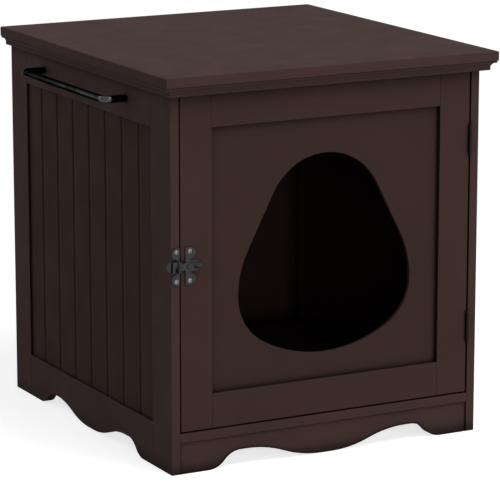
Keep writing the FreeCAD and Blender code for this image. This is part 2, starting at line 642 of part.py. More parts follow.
def make_door():
    """Two stiles, two rails and a thin panel with the entrance hole, let in from behind."""
    y = (front_y, door_rear)
    front = [("y", front_y)]
    stile_left = (door_left, door_left + DOOR_STILE)
    stile_right = (door_right - DOOR_STILE, door_right)
    rail_x = (stile_left[1], stile_right[0])
    opening = (door_low + DOOR_BOTTOM_RAIL, door_high - DOOR_TOP_RAIL)
    door = {
        "door_latch_stile": eased(block(stile_left, y, (door_low, door_high)), front),
        "door_hinge_stile": eased(block(stile_right, y, (door_low, door_high)), front),
        "door_bottom_rail": eased(block(rail_x, y, (door_low, opening[0])), front),
        "door_top_rail": eased(block(rail_x, y, (opening[1], door_high)), front),
    }
    panel_y = (door_rear - DOOR_PANEL, door_rear)
    reach = REBATE + PANEL_PLAY
    pocket = block((rail_x[0] - reach, rail_x[1] + reach), panel_y, (opening[0] - reach, opening[1] + reach))
    for name, shape in door.items():
        pieces[name] = shape.cut(pocket)
    panel = block((rail_x[0] - REBATE, rail_x[1] + REBATE), panel_y,
                  (opening[0] - REBATE, opening[1] + REBATE))
    hole = prism(egg_edges(door_middle_x, door_low, panel_y[0]), Y_AXIS * DOOR_PANEL)
    panel = panel.cut(hole)
    rim = [edge for edge in panel.Edges
           if all(abs(vertex.Point.y - panel_y[0]) < FLAT for vertex in edge.Vertexes)
           and abs(edge.CenterOfMass.x - door_middle_x) < EGG_HALF_WIDTH + FLAT
           and door_low + EGG_BOTTOM - FLAT < edge.CenterOfMass.z < door_low + EGG_TOP + FLAT]
    pieces["door_panel"] = panel.makeFillet(EDGE_EASE, rim)

    dowel_y = front_y + DOOR_BOARD / 2
    rails = (("door_bottom_rail", door_low + FIRST_DOWEL, 1), ("door_top_rail", door_high - FIRST_DOWEL, -1))
    stiles = (("door_latch_stile", rail_x[0]), ("door_hinge_stile", rail_x[1]))
    for rail, first, step in rails:
        for stile, joint_x in stiles:
            for count in range(2):
                add_dowel("door_dowels", [rail, stile],
                          point(joint_x, dowel_y, first + step * count * DOWEL_PITCH),
                          X_AXIS, DOWEL_HALF, DOWEL_HALF)


# ---- Hinges -------------------------------------------------------------------------
def make_hinge(name, middle_z):
    """A butt hinge: two leaves in the gap at the door's edge, and a barrel in front of it."""
    low = middle_z - HINGE_LENGTH / 2
    high = middle_z + HINGE_LENGTH / 2
    pitch = HINGE_LENGTH / HINGE_KNUCKLES
    leaf_y = (front_y, front_y + LEAF_DEPTH)
    cabinet_x = (inner_x - LEAF_THICKNESS, inner_x)
    door_x = (door_right, door_right + LEAF_THICKNESS)
    leaves = {"cabinet": block(cabinet_x, leaf_y, (low, high)), "door": block(door_x, leaf_y, (low, high))}
    for count in range(HINGE_KNUCKLES):
        owner = "cabinet" if count % 2 == 0 else "door"
        x = cabinet_x if owner == "cabinet" else door_x
        start = low + count * pitch + (KNUCKLE_GAP / 2 if count else 0)
        end = low + (count + 1) * pitch - (KNUCKLE_GAP / 2 if count < HINGE_KNUCKLES - 1 else 0)
        knuckle = rod(BARREL_RADIUS, point(pin_x, pin_y, start), Z_AXIS, end - start)
        neck = block(x, (pin_y, front_y), (start, end))
        leaves[owner] = leaves[owner].fuse(knuckle).fuse(neck)
    bore = rod(PIN_RADIUS + PIN_FIT, point(pin_x, pin_y, low), Z_AXIS, HINGE_LENGTH)
    for owner in leaves:
        leaves[owner] = leaves[owner].removeSplitter().cut(bore)

    # The pin's domed caps sit on the ends of the barrel.
    pin = rod(PIN_RADIUS, point(pin_x, pin_y, low), Z_AXIS, HINGE_LENGTH)
    ball_radius = (BARREL_RADIUS ** 2 + PIN_CAP ** 2) / (2 * PIN_CAP)
    for end_z, way in ((low, -1), (high, 1)):
        ball = Part.makeSphere(ball_radius, point(pin_x, pin_y, end_z - way * (ball_radius - PIN_CAP)))
        cap = ball.common(rod(BARREL_RADIUS, point(pin_x, pin_y, end_z), Z_AXIS * way, PIN_CAP))
        pin = pin.fuse(cap)
    group("hinge_pins", pin.removeSplitter())

    screw_y = front_y + LEAF_DEPTH / 2
    for step in (-1, 1):
        screw_z = middle_z + step * HINGE_SCREW_SPACING / 2
        for owner, start_x, into, board in (("cabinet", cabinet_x[0], X_AXIS, "right_front_stile"),
                                            ("door", door_x[1], -X_AXIS, "door_hinge_stile")):
            head = point(start_x, screw_y, screw_z)
            group("hinge_" + owner + "_screws",
                  countersunk_screw(head, into, HINGE_SCREW_RADIUS, HINGE_SCREW_HEAD, HINGE_SCREW_LENGTH))
            hole = countersunk_screw(head, into, HINGE_SCREW_RADIUS + JOINERY_PLAY,
                                     HINGE_SCREW_HEAD + JOINERY_PLAY, HINGE_SCREW_LENGTH + JOINERY_PLAY)
            leaves[owner] = leaves[owner].cut(hole)
            cut_from([board], hole)
    pieces[name + "_hinge_cabinet_leaf"] = leaves["cabinet"]
    pieces[name + "_hinge_door_leaf"] = leaves["door"]


# ---- Latch --------------------------------------------------------------------------
def lobed_plate(edge_x, way, width):
    """A thin plate with one straight edge and three lobes on the other side."""
    def u(distance):
        return edge_x + way * distance

    def slab(near, far, half):
        x = sorted((u(near), u(far)))
        return block(x, (front_y - PLATE_THICKNESS, front_y), (door_middle_z - half, door_middle_z + half))

    lobe_z = PLATE_HEIGHT / 2 - PLATE_LOBE
    lobe_u = width - PLATE_LOBE_STEP - PLATE_LOBE
    middle_u = width - PLATE_MIDDLE_LOBE
    seat = front_y - PLATE_THICKNESS
    plate = slab(0, lobe_u, PLATE_HEIGHT / 2)
    plate = plate.fuse(slab(0, middle_u, PLATE_MIDDLE_LOBE))
    plate = plate.fuse(rod(PLATE_MIDDLE_LOBE, point(u(middle_u), seat, door_middle_z), Y_AXIS,
                           PLATE_THICKNESS))
    for step in (-1, 1):
        plate = plate.fuse(rod(PLATE_LOBE, point(u(lobe_u), seat, door_middle_z + step * lobe_z),
                               Y_AXIS, PLATE_THICKNESS))
    return plate.common(slab(0, width, PLATE_HEIGHT / 2)).removeSplitter()


def make_latch():
    """A base plate with a swinging arm on the door, and a strike plate with a keeper on the post."""
    seat = front_y - PLATE_THICKNESS
    base_edge = door_left + BASE_PLATE_INSET
    strike_edge = -inner_x
    pivot_x = base_edge + PIVOT_INSET
    keeper_x = strike_edge - KEEPER_INSET
    swing = pivot_x - keeper_x
    arm_back = seat - ARM_LIFT
    arm_front = arm_back - ARM_THICKNESS

    base = lobed_plate(base_edge, 1, BASE_PLATE_WIDTH)
    strike = lobed_plate(strike_edge, -1, STRIKE_PLATE_WIDTH)
    for step in (-1, 1):
        screw_z = door_middle_z + step * PLATE_SCREW_SPACING / 2
        for name, screw_x, board in (("latch_base_screws", base_edge + BASE_SCREW_INSET, "door_latch_stile"),
                                     ("latch_strike_screws", strike_edge - STRIKE_SCREW_INSET,
                                      "left_front_stile")):
            group(name, domed_screw(point(screw_x, seat, screw_z), Y_AXIS, PLATE_SCREW_RADIUS,
                                    PLATE_SCREW_HEAD, PLATE_SCREW_DOME, PLATE_SCREW_LENGTH))
            hole = rod(PLATE_SCREW_RADIUS + JOINERY_PLAY, point(screw_x, seat, screw_z), Y_AXIS,
                       PLATE_SCREW_LENGTH + JOINERY_PLAY)
            cut_from([board], hole)
            if board == "left_front_stile":
                strike = strike.cut(hole)
            else:
                base = base.cut(hole)

    # The rivet: a shank through the plate, a collar that carries the arm and a domed head.
    shank_end = front_y
    head_seat = arm_front - ARM_AXIAL_GAP
    rivet = domed_screw(point(pivot_x, head_seat, door_middle_z), Y_AXIS, PIVOT_RADIUS, PIVOT_HEAD,
                        PIVOT_DOME, shank_end - head_seat)
    rivet = rivet.fuse(rod(PIVOT_COLLAR, point(pivot_x, arm_back + ARM_AXIAL_GAP, door_middle_z), Y_AXIS,
                           seat - arm_back - ARM_AXIAL_GAP)).removeSplitter()
    pieces["latch_pivot_rivet"] = rivet
    base = base.cut(rod(PIVOT_RADIUS, point(pivot_x, seat, door_middle_z), Y_AXIS, PLATE_THICKNESS))
    pieces["latch_base_plate"] = base

    keeper_top = arm_front + KEEPER_SLACK
    pieces["latch_keeper"] = rod(KEEPER_RADIUS, point(keeper_x, keeper_top, door_middle_z), Y_AXIS,
                                 front_y - keeper_top)
    strike = strike.cut(rod(KEEPER_RADIUS, point(keeper_x, seat, door_middle_z), Y_AXIS, PLATE_THICKNESS))
    pieces["latch_strike_plate"] = strike

    make_latch_arm(pivot_x, keeper_x, swing, arm_back, arm_front)


def make_latch_arm(pivot_x, keeper_x, swing, arm_back, arm_front):
    """A flat arm, hooked over the keeper at one end and with a thumb trough at the other."""
    z = door_middle_z
    y = (arm_front, arm_back)
    arm = rod(ARM_HUB, point(pivot_x, arm_front, z), Y_AXIS, ARM_THICKNESS)
    arm = arm.fuse(block((keeper_x + ARM_NECK, pivot_x), y, (z - ARM_HEIGHT / 2, z + ARM_HEIGHT / 2)))
    arm = arm.fuse(block((keeper_x - ARM_HEAD_OVERREACH, keeper_x + ARM_NECK), y,
                         (z - ARM_HEAD_HEIGHT / 2, z + ARM_HEAD_HEIGHT / 2)))
    arm = arm.fuse(block((pivot_x, pivot_x + TAB_START + TAB_LENGTH), y,
                         (z - TAB_HEIGHT / 2, z + TAB_HEIGHT / 2)))

    # The hook's slot follows the arc that the keeper takes as the arm swings up.
    half_slot = KEEPER_RADIUS + KEEPER_SLACK
    outer = swing + half_slot
    inner = swing - half_slot
    turn = math.radians(SLOT_TURN)
    slot_y = arm_front - KEEPER_SLACK

    def on_ring(radius, angle):
        return point(pivot_x - radius * math.cos(angle), slot_y, z - radius * math.sin(angle))

    arm = arm.removeSplitter()
    arm = arm.cut(prism([arc(on_ring(outer, 0), on_ring(outer, turn / 2), on_ring(outer, turn)),
                         line(on_ring(outer, turn), on_ring(inner, turn)),
                         arc(on_ring(inner, turn), on_ring(inner, turn / 2), on_ring(inner, 0)),
                         arc(on_ring(inner, 0), point(keeper_x, slot_y, z + half_slot), on_ring(outer, 0))],
                        Y_AXIS * (ARM_THICKNESS + 2 * KEEPER_SLACK)))

    # The thumb trough is half a tube, open upwards, that grows out of the arm's front face.
    trough_y = arm_back - TAB_RADIUS
    trough_start = point(pivot_x + TAB_START, trough_y, z + TAB_RISE)
    trough = rod(TAB_RADIUS, trough_start, X_AXIS, TAB_LENGTH)
    trough = trough.cut(rod(TAB_RADIUS - ARM_THICKNESS, trough_start, X_AXIS, TAB_LENGTH))
    upper = block((trough_start.x, trough_start.x + TAB_LENGTH),
                  (trough_y - TAB_RADIUS, trough_y + TAB_RADIUS),
                  (trough_start.z, trough_start.z + TAB_RADIUS))
    arm = arm.fuse(trough.cut(upper))

    # An upright bead stands on the arm's front face beside the keeper.
    bead_x = keeper_x + BEAD_OFFSET
    bead_z = (z - BEAD_HEIGHT / 2, z + BEAD_HEIGHT / 2)
    bead = rod(BEAD_RADIUS, point(bead_x, arm_front, bead_z[0]), Z_AXIS, BEAD_HEIGHT)
    bead = bead.common(block((bead_x - BEAD_RADIUS, bead_x + BEAD_RADIUS),
                             (arm_front - BEAD_RADIUS, arm_front), bead_z))
    arm = arm.fuse(bead).removeSplitter()
    arm = arm.cut(rod(PIVOT_RADIUS + PIN_FIT, point(pivot_x, arm_front, z), Y_AXIS, ARM_THICKNESS))
    pieces["latch_arm"] = arm


# ---- Build and write ----------------------------------------------------------------
def write_pieces():
    os.makedirs("parts", exist_ok=True)
    for name, held in sorted(pieces.items()):
        shape = Part.makeCompound(held) if isinstance(held, list) else held
        if not isinstance(held, list) and len(shape.Solids) == 1:
            shape = shape.Solids[0]
        shape.translate(ORIGIN_SHIFT)
        print("%-28s %2d solid(s) %12.1f mm3 valid %s"
              % (name, len(shape.Solids), shape.Volume, shape.isValid()))
        shape.exportStep("parts/" + name + ".step")


make_top()
make_mouldings()
make_side("left")
make_side("right")
make_inner_boards()
join_inner_boards()
make_door()
make_towel_bar()
make_hinge("lower", door_low + HINGE_INSET)
make_hinge("upper", door_high - HINGE_INSET)
make_latch()
write_pieces()
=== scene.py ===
import json
import math

import bmesh
import bpy
from mathutils import Matrix, Vector


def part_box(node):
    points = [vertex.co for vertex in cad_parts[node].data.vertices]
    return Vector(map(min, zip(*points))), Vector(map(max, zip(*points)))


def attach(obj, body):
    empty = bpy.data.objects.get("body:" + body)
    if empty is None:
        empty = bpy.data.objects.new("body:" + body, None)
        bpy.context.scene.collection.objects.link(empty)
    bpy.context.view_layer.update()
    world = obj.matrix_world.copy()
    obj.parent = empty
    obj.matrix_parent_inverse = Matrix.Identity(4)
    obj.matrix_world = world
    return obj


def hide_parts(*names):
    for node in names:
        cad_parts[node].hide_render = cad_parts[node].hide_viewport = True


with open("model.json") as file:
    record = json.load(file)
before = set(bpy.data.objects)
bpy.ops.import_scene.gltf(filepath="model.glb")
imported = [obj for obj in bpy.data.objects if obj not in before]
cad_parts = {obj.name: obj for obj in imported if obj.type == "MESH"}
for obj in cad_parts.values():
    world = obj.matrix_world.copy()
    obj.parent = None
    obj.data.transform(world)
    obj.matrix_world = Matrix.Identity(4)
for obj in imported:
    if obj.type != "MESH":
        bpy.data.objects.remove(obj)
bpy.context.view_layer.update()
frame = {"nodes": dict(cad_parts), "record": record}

# Metres, +Z up, the door facing -Y, in the same frame as the construction model.

# ---- Camera: the photograph's viewing angle -----------------------------------------
CAMERA_PLACE = (-1.7896, -3.4021, 1.0800)
CAMERA_AZIMUTH = -28.01       # degrees
CAMERA_ELEVATION = 12.54      # degrees that the camera looks down
SENSOR_WIDTH = 36.0           # millimetres
FOCAL_LENGTH = 211.7          # millimetres

# ---- Light --------------------------------------------------------------------------
WORLD_LIGHT = 0.08
LIGHT_TARGET = (0.0, 0.0, 0.25)
# name: place, width of the lamp, watts
LAMPS = {
    "high_light": ((0.4, -1.4, 2.8), 1.6, 45.0),
    "key_light": ((1.6, -3.2, 0.9), 1.2, 38.0),
    "low_light": ((0.7, -2.4, 0.27), 0.5, 6.0),
    "fill_light": ((-1.1, -3.2, 0.8), 1.0, 14.0),
    "left_light": ((-2.6, 0.6, 0.6), 1.0, 1.0),
    "high_left_light": ((-1.5, 1.6, 2.1), 0.9, 10.0),
    "rear_left_light": ((-1.9, 2.0, 0.5), 0.8, 2.0),
    "low_left_light": ((-0.9, 1.3, 0.27), 0.5, 0.6),
    "rim_light": ((-1.2, 2.6, 0.9), 0.8, 5.0),
    "right_light": ((2.8, -0.4, 0.9), 1.4, 9.0),
    "rear_light": ((0.9, 2.4, 0.27), 0.5, 9.0),
}

FLOOR_REACH = 12.0
FLOOR_COLOUR = (0.62, 0.62, 0.62, 1)
FLOOR_GLOW = 0.75             # what the camera sees on top of the lit floor
SHADOW_REACH = 0.55           # the floor keeps the shadow this far out,
WHITE_REACH = 1.6             # and is plain white from here on
WHITE = (1, 1, 1, 1)

# ---- Colours, linear ----------------------------------------------------------------
PAINT = (0.0470, 0.0270, 0.0240)
DOOR_PAINT = (0.0420, 0.0234, 0.0204)
# the recessed door panel and the beadboards take darker copies of the paint, a painted shade
PANEL_SHADED_PAINT = (0.0370, 0.0206, 0.0178)
BEAD_SHADED_PAINT = (0.0300, 0.0152, 0.0116)
TOP_PAINT = (0.0480, 0.0268, 0.0234)
BLACK_ENAMEL = (0.052, 0.053, 0.052)
ENAMEL_RIM = (0.20, 0.20, 0.20, 1)      # the enamel's reflection at a flat angle
LATCH_BLACK = (0.0095, 0.0105, 0.0100)
LATCH_BARE = (0.09, 0.09, 0.088)
HINGE_BRONZE = (0.0120, 0.0075, 0.0062)
HINGE_BARE = (0.05, 0.034, 0.028)
SCREW_STEEL = (0.17, 0.17, 0.165)
ZINC = (0.46, 0.46, 0.45)
BEECH = (0.52, 0.36, 0.21)

# ---- Finish of the paint and metal, with painted shade and painted highlight --------
SHADE_REACH = 0.022          # how far out of a corner the painted shade reaches
CORNER_SHADE = 0.04            # share of the colour left in the deepest corner by the painted shade
# the lighter band along a board's edges: wear and painted highlight
PAINT_WEAR_AND_HIGHLIGHT_WIDTH = 0.0011
# how far painted shade reaches into a coated part's recesses
METAL_SHADE_REACH = 0.004
METAL_WEAR_WIDTH = 0.0005
# how far painted shade reaches into a bare part's recesses
BARE_SHADE_REACH = 0.002

# ---- Shapes -------------------------------------------------------------------------
MERGE = 1e-6                  # corners this close are one corner
EASE = 0.0008                 # rounding of a board's edges
PLATE_EASE = 0.0004           # of a latch plate's
ARM_EASE = 0.0003             # of the latch arm's and the keeper's
LEAF_EASE = 0.00012           # of a hinge leaf's
EASE_STEPS = 2
APRON_SET_BACK = 0.0022       # the apron stands this far behind the board above it
FLAT = math.radians(1.0)      # faces this near to one plane become one face
EDGE = math.radians(40.0)     # edges that turn more than this are rounded
CREASE = 35.0                 # degrees; edges that turn more than this are shaded sharp
HEAD_CREASE = 50.0            # the same on a screw
ROD_CREASE = 60.0             # and on the towel bar


# ---- Material building blocks -------------------------------------------------------
class Paper:
    """One material's node tree, with short calls to add and join nodes."""

    def __init__(self, name):
        self.material = bpy.data.materials.new(name)
        self.material.use_nodes = True
        self.tree = self.material.node_tree
        self.shader = self.tree.nodes["Principled BSDF"]
        self.place = self.add("ShaderNodeTexCoord").outputs["Object"]

    def add(self, kind, **settings):
        """A new node; a setting is a property of it or, by its name, one of its sockets."""
        node = self.tree.nodes.new(kind)
        for key, value in settings.items():
            if hasattr(node, key):
                setattr(node, key, value)
            else:
                node.inputs[key.replace("_", " ")].default_value = value
        return node

    def join(self, source, target):
        self.tree.links.new(source, target)

    def constant(self, **values):
        """Values set on the shader's own sockets."""
        for key, value in values.items():
            self.shader.inputs[key.replace("_", " ")].default_value = value

    def noise(self, scale, detail, roughness=0.5, stretch=None):
        """Noise per metre, mostly 0.3 to 0.7; stretch squeezes it along the axes first."""
        node = self.add("ShaderNodeTexNoise", Scale=scale, Detail=detail, Roughness=roughness)
        source = self.place
        if stretch:
            squeeze = self.add("ShaderNodeVectorMath", operation="MULTIPLY")
            self.join(source, squeeze.inputs[0])
            squeeze.inputs[1].default_value = stretch
            source = squeeze.outputs["Vector"]
        self.join(source, node.inputs["Vector"])
        return node.outputs["Fac"]

    def ramp(self, source, start, end, low, high, smooth=False):
        """source from start..end turned into low..high, and held there."""
        curve = "SMOOTHSTEP" if smooth else "LINEAR"
        node = self.add("ShaderNodeMapRange", interpolation_type=curve)
        self.join(source, node.inputs["Value"])
        limits = {"From Min": start, "From Max": end, "To Min": low, "To Max": high}
        for key, value in limits.items():
            node.inputs[key].default_value = value
        return node.outputs["Result"]

    def cloud(self, low, high, *noise):
        """Noise spread over low..high."""
        return self.ramp(self.noise(*noise), 0.3, 0.7, low, high)

    def times(self, first, *others):
        total = first
        for other in others:
            node = self.add("ShaderNodeMath", operation="MULTIPLY")
            self.join(total, node.inputs[0])
            self.join(other, node.inputs[1])
            total = node.outputs["Value"]
        return total

    def tinted(self, colour, strength):
        """colour, lighter or darker by strength."""
        node = self.add("ShaderNodeVectorMath", operation="SCALE")
        node.inputs[0].default_value = colour
        self.join(strength, node.inputs["Scale"])
        return node.outputs["Vector"]

    def mixed(self, share, first, second):
        """The output first where share is 0, the plain colour second where it is 1."""
        node = self.add("ShaderNodeMix", data_type="RGBA")
        factor = next(socket for socket in node.inputs if socket.type == "VALUE")
        low, high = [socket for socket in node.inputs if socket.type == "RGBA"]
        self.join(share, factor)
        self.join(first, low)
        high.default_value = (*second, 1)
        return next(socket for socket in node.outputs if socket.type == "RGBA")

    def openness(self, reach):
        """1 on an open face, towards 0 in a corner or a gap narrower than reach."""
        return self.add("ShaderNodeAmbientOcclusion", samples=12, Distance=reach).outputs["AO"]

    def edges(self, radius, full):
        """1 along the edges of the shape, 0 on its faces."""
        bevel = self.add("ShaderNodeBevel", samples=6, Radius=radius)
        facing = self.add("ShaderNodeVectorMath", operation="DOT_PRODUCT")
        self.join(bevel.outputs["Normal"], facing.inputs[0])
        self.join(self.add("ShaderNodeNewGeometry").outputs["Normal"], facing.inputs[1])
        return self.ramp(facing.outputs["Value"], 1.0, 1.0 - full, 0.0, 1.0)

    def bump(self, height, strength, depth):
        node = self.add("ShaderNodeBump", Strength=strength, Distance=depth)
        self.join(height, node.inputs["Height"])
        self.join(node.outputs["Normal"], self.shader.inputs["Normal"])

    def finish(self, colour, roughness):
        self.join(colour, self.shader.inputs["Base Color"])
        self.join(roughness, self.shader.inputs["Roughness"])
        return self.material


# ---- Materials ----------------------------------------------------------------------
def painted_board(name, colour):
    """Matt sprayed paint on fibreboard: cloudy, pebbled, painted shade in corners, rubbed edges
    with painted highlight.
    """
    paper = Paper(name)
    clouds = paper.cloud(0.95, 1.05, 7.0, 3.0)
    specks = paper.cloud(0.975, 1.025, 520.0, 2.0)
    # painted shade: the colour darkens in corners, gaps and under overhangs, where shade falls
    openness = paper.openness(SHADE_REACH)
    corners = paper.ramp(openness, 0.36, 0.95, CORNER_SHADE, 1.0)
    body = paper.tinted(colour, paper.times(clouds, specks, corners))
    patches = paper.ramp(paper.noise(38.0, 3.0, 0.6), 0.35, 0.65, 0.25, 0.75)
    outside = paper.ramp(openness, 0.80, 0.97, 0.0, 1.0)
    # the edges turn lighter: partly wear, partly a painted highlight on the rounded edges
    rubbed = paper.times(paper.edges(PAINT_WEAR_AND_HIGHLIGHT_WIDTH, 0.10), outside, patches)
    wear_and_highlight = tuple(1.45 * part + 0.006 for part in colour)
    paper.constant(Specular_IOR_Level=0.04)
    paper.bump(paper.noise(620.0, 2.0), 0.10, 0.0002)
    return paper.finish(paper.mixed(rubbed, body, wear_and_highlight), paper.cloud(0.70, 0.80, 24.0, 4.0))


def black_enamel(name):
    """Gloss black over steel rod."""
    paper = Paper(name)
    colour = paper.tinted(BLACK_ENAMEL, paper.cloud(0.85, 1.15, 60.0, 3.0))
    paper.constant(Metallic=1.0, Specular_Tint=ENAMEL_RIM)
    paper.bump(paper.noise(480.0, 2.0), 0.05, 0.0001)
    return paper.finish(colour, paper.cloud(0.15, 0.21, 90.0, 4.0))


def coated_metal(name, colour, bare, roughness, specular, rubbing):
    """A thin dark coat on pressed steel, rubbed towards the metal along its edges, with painted
    shade in its recesses.
    """
    paper = Paper(name)
    clouds = paper.cloud(0.80, 1.20, 170.0, 3.0)
    # painted shade: the coat darkens in its recesses and hollows
    openness = paper.openness(METAL_SHADE_REACH)
    corners = paper.ramp(openness, 0.15, 0.95, 0.15, 1.0)
    body = paper.tinted(colour, paper.times(clouds, corners))
    patches = paper.ramp(paper.noise(420.0, 3.0, 0.6), 0.40, 0.62, 0.0, rubbing)
    outside = paper.ramp(openness, 0.75, 0.95, 0.0, 1.0)
    rubbed = paper.times(paper.edges(METAL_WEAR_WIDTH, 0.12), outside, patches)
    rough = paper.cloud(roughness - 0.06, roughness + 0.08, 260.0, 4.0)
    paper.constant(Specular_IOR_Level=specular)
    paper.bump(paper.noise(1500.0, 2.0), 0.12, 0.0001)
    return paper.finish(paper.mixed(rubbed, body, bare), rough)


def bare_metal(name, colour, roughness, corner_shade, grain):
    """Bright metal with fine tool marks, darkened in its recesses by painted shade."""
    paper = Paper(name)
    clouds = paper.cloud(0.82, 1.12, 150.0, 3.0)
    # painted shade: darker in recesses such as a screw's cross
    corners = paper.ramp(paper.openness(BARE_SHADE_REACH), 0.15, 0.95, corner_shade, 1.0)
    finished = paper.tinted(colour, paper.times(clouds, corners))
    rough = paper.cloud(roughness - 0.06, roughness + 0.10, 300.0, 4.0)
    paper.constant(Metallic=1.0)
    paper.bump(paper.noise(grain, 3.0, 0.5, (1.0, 1.0, 0.12)), 0.15, 0.0001)
    return paper.finish(finished, rough)


def beech(name):
    """Plain beech: long grain with short dark flecks."""
    paper = Paper(name)
    grain = (420.0, 4.0, 0.6, (0.08, 1.0, 1.0))
    streaks = paper.cloud(0.80, 1.10, *grain)
    fleck_noise = paper.noise(900.0, 1.0, 0.5, (0.25, 1.0, 1.0))
    flecks = paper.ramp(fleck_noise, 0.60, 0.72, 1.0, 0.72)
    finished = paper.tinted(BEECH, paper.times(streaks, flecks))
    paper.bump(paper.noise(*grain), 0.2, 0.0002)
    return paper.finish(finished, paper.cloud(0.58, 0.74, 200.0, 2.0))


def make_materials():
    recipes = {
        "painted_board": (painted_board, PAINT),
        "door_paint": (painted_board, DOOR_PAINT),
        "panel_paint": (painted_board, PANEL_SHADED_PAINT),
        "top_paint": (painted_board, TOP_PAINT),
        "bead_paint": (painted_board, BEAD_SHADED_PAINT),
        "black_steel": (black_enamel,),
        "latch_metal": (coated_metal, LATCH_BLACK, LATCH_BARE, 0.36, 0.22, 0.8),
        "hinge_metal": (coated_metal, HINGE_BRONZE, HINGE_BARE, 0.46, 0.10, 0.5),
        "screw_steel": (bare_metal, SCREW_STEEL, 0.30, 0.10, 900.0),
        "zinc_fittings": (bare_metal, ZINC, 0.42, 0.20, 500.0),
        "dowel_wood": (beech,),
    }
    return {name: make(name, *values) for name, (make, *values) in recipes.items()}


def dress_nodes(materials):
    """Each construction node gets its slot's material, and a beadboard its own darker paint as
    painted shade.
    """
    for row in frame["record"]["subparts"]:
        name = row["node"]
        finish = "bead_paint" if name.endswith("_beadboard") else row["material_slot"]
        for holder in frame["nodes"][name].material_slots:
            holder.material = materials[finish]


# ---- Pieces -------------------------------------------------------------------------
def welded(node):
    """A copy of a construction solid, its faces joined along their edges."""
    maker = bmesh.new()
    maker.from_mesh(frame["nodes"][node].data)
    bmesh.ops.remove_doubles(maker, verts=maker.verts, dist=MERGE)
    return maker


def solid_boxes(node):
    """(lowest corner, highest corner) of each separate solid in a node, in order of place."""
    maker = welded(node)
    boxes = []
    seen = set()
    for start in maker.verts:
        if start in seen:
            continue
        seen.add(start)
        waiting = [start]
        corners = []
        while waiting:
            vertex = waiting.pop()
            corners.append(vertex.co.copy())
            for edge in vertex.link_edges:
                other = edge.other_vert(vertex)
                if other not in seen:
                    seen.add(other)
                    waiting.append(other)
        boxes.append(tuple(Vector([pick(corner[axis] for corner in corners) for axis in range(3)])
                           for pick in (min, max)))
    maker.free()
    return sorted(boxes, key=lambda box: tuple(round(part, 4) for part in box[0]))


def finish_piece(name, maker, material, body, node, crease=CREASE):
    """The mesh as an object that rides on its body and stands for its node."""
    mesh = bpy.data.meshes.new(name)
    bmesh.ops.recalc_face_normals(maker, faces=maker.faces)
    maker.to_mesh(mesh)
    maker.free()
    mesh.shade_smooth()
    mesh.set_sharp_from_angle(angle=math.radians(crease))
    mesh.materials.append(material)
    piece = bpy.data.objects.new(name, mesh)
    bpy.context.scene.collection.objects.link(piece)
    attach(piece, body)
    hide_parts(node)
    return piece


def softened(name, node, material, body, ease, set_back=0.0):
    """The same outline as a solid, with rounded edges; set_back moves its front inwards."""
    maker = welded(node)
    front = min(vertex.co.y for vertex in maker.verts)
    for vertex in maker.verts:
        if vertex.co.y < front + MERGE:
            vertex.co.y += set_back
    bmesh.ops.dissolve_limit(maker, angle_limit=FLAT, verts=maker.verts, edges=maker.edges)
    rims = [edge for edge in maker.edges
            if len(edge.link_faces) == 2 and edge.calc_face_angle() > EDGE]
    bmesh.ops.bevel(maker, geom=rims, offset=ease, segments=EASE_STEPS, profile=0.5,
                    affect="EDGES", clamp_overlap=True)
    piece = finish_piece(name, maker, material, body, node)
    level = piece.modifiers.new("flat_faces", "WEIGHTED_NORMAL")
    level.keep_sharp = True
    level.weight = 100


def bridge(maker, near, far):
    """Faces between two rings of corners."""
    for i in range(len(near)):
        j = (i + 1) % len(near)
        maker.faces.new((near[i], near[j], far[j], far[i]))


# ---- Screws: cross recess, cone or dome, rolled thread, point -----------------------
TURN_STEPS = 40               # corners round anything turned
HEAD_RINGS = 14
HEAD_LIP = 0.0003             # least depth of a head, or how far a dome's rim reaches down
RECESS_DEPTH = 0.42           # these four are shares of the head's radius
RECESS_LENGTH = 0.60
RECESS_WIDTH = 0.15
RECESS_SOFTNESS = 0.12
RECESS_SLOPE = 0.45           # how much of the depth is lost towards the ends
FIRST_TURN = 0.5              # radians, how far the first cross of a set is turned,
NEXT_TURN = 2.1               # and each one after it
# head radius, dome above the face, cone below it, shank radius
PLATE_SCREW = (0.0029, 0.0011, 0.0, 0.0015)
HINGE_SCREW = (0.0022, 0.0, 0.00095, 0.00125)
WOOD_SCREW = (0.0035, 0.0, 0.00175, 0.00175)
BAR_SCREW = (0.0038, 0.0024, 0.0, 0.0020)


def cross_recess(u, v, head_radius):
    """How deep the cross recess is at a place on a head."""
    long_half = RECESS_LENGTH * head_radius
    wide_half = RECESS_WIDTH * head_radius
    soft = RECESS_SOFTNESS * head_radius

    def fall(distance, half):
        share = min(max((half + soft - abs(distance)) / soft, 0.0), 1.0)
        return share * share * (3 - 2 * share)

    arm = max(fall(u, long_half) * fall(v, wide_half), fall(v, long_half) * fall(u, wide_half))
    slope = 1.0 - RECESS_SLOPE * min(math.hypot(u, v) / long_half, 1.0)
    return arm * RECESS_DEPTH * head_radius * slope


def shank_profile(head_radius, dome, cone, shank, length):
    """(radius, distance below the face) under a head: cone or lip, thread, point."""
    reach = max(cone, HEAD_LIP)
    profile = [(head_radius, HEAD_LIP)] if dome and not cone else []
    profile.append((shank, reach))
    pitch = 0.55 * shank + 0.0004
    groove = 0.80 * shank
    while reach + pitch < length - 2.2 * shank:
        profile += [(groove, reach + 0.30 * pitch), (groove, reach + 0.60 * pitch),
                    (shank, reach + pitch)]
        reach += pitch
    profile += [(groove, length - 2.0 * shank), (0.35 * shank, length - 0.6 * shank)]
    return profile


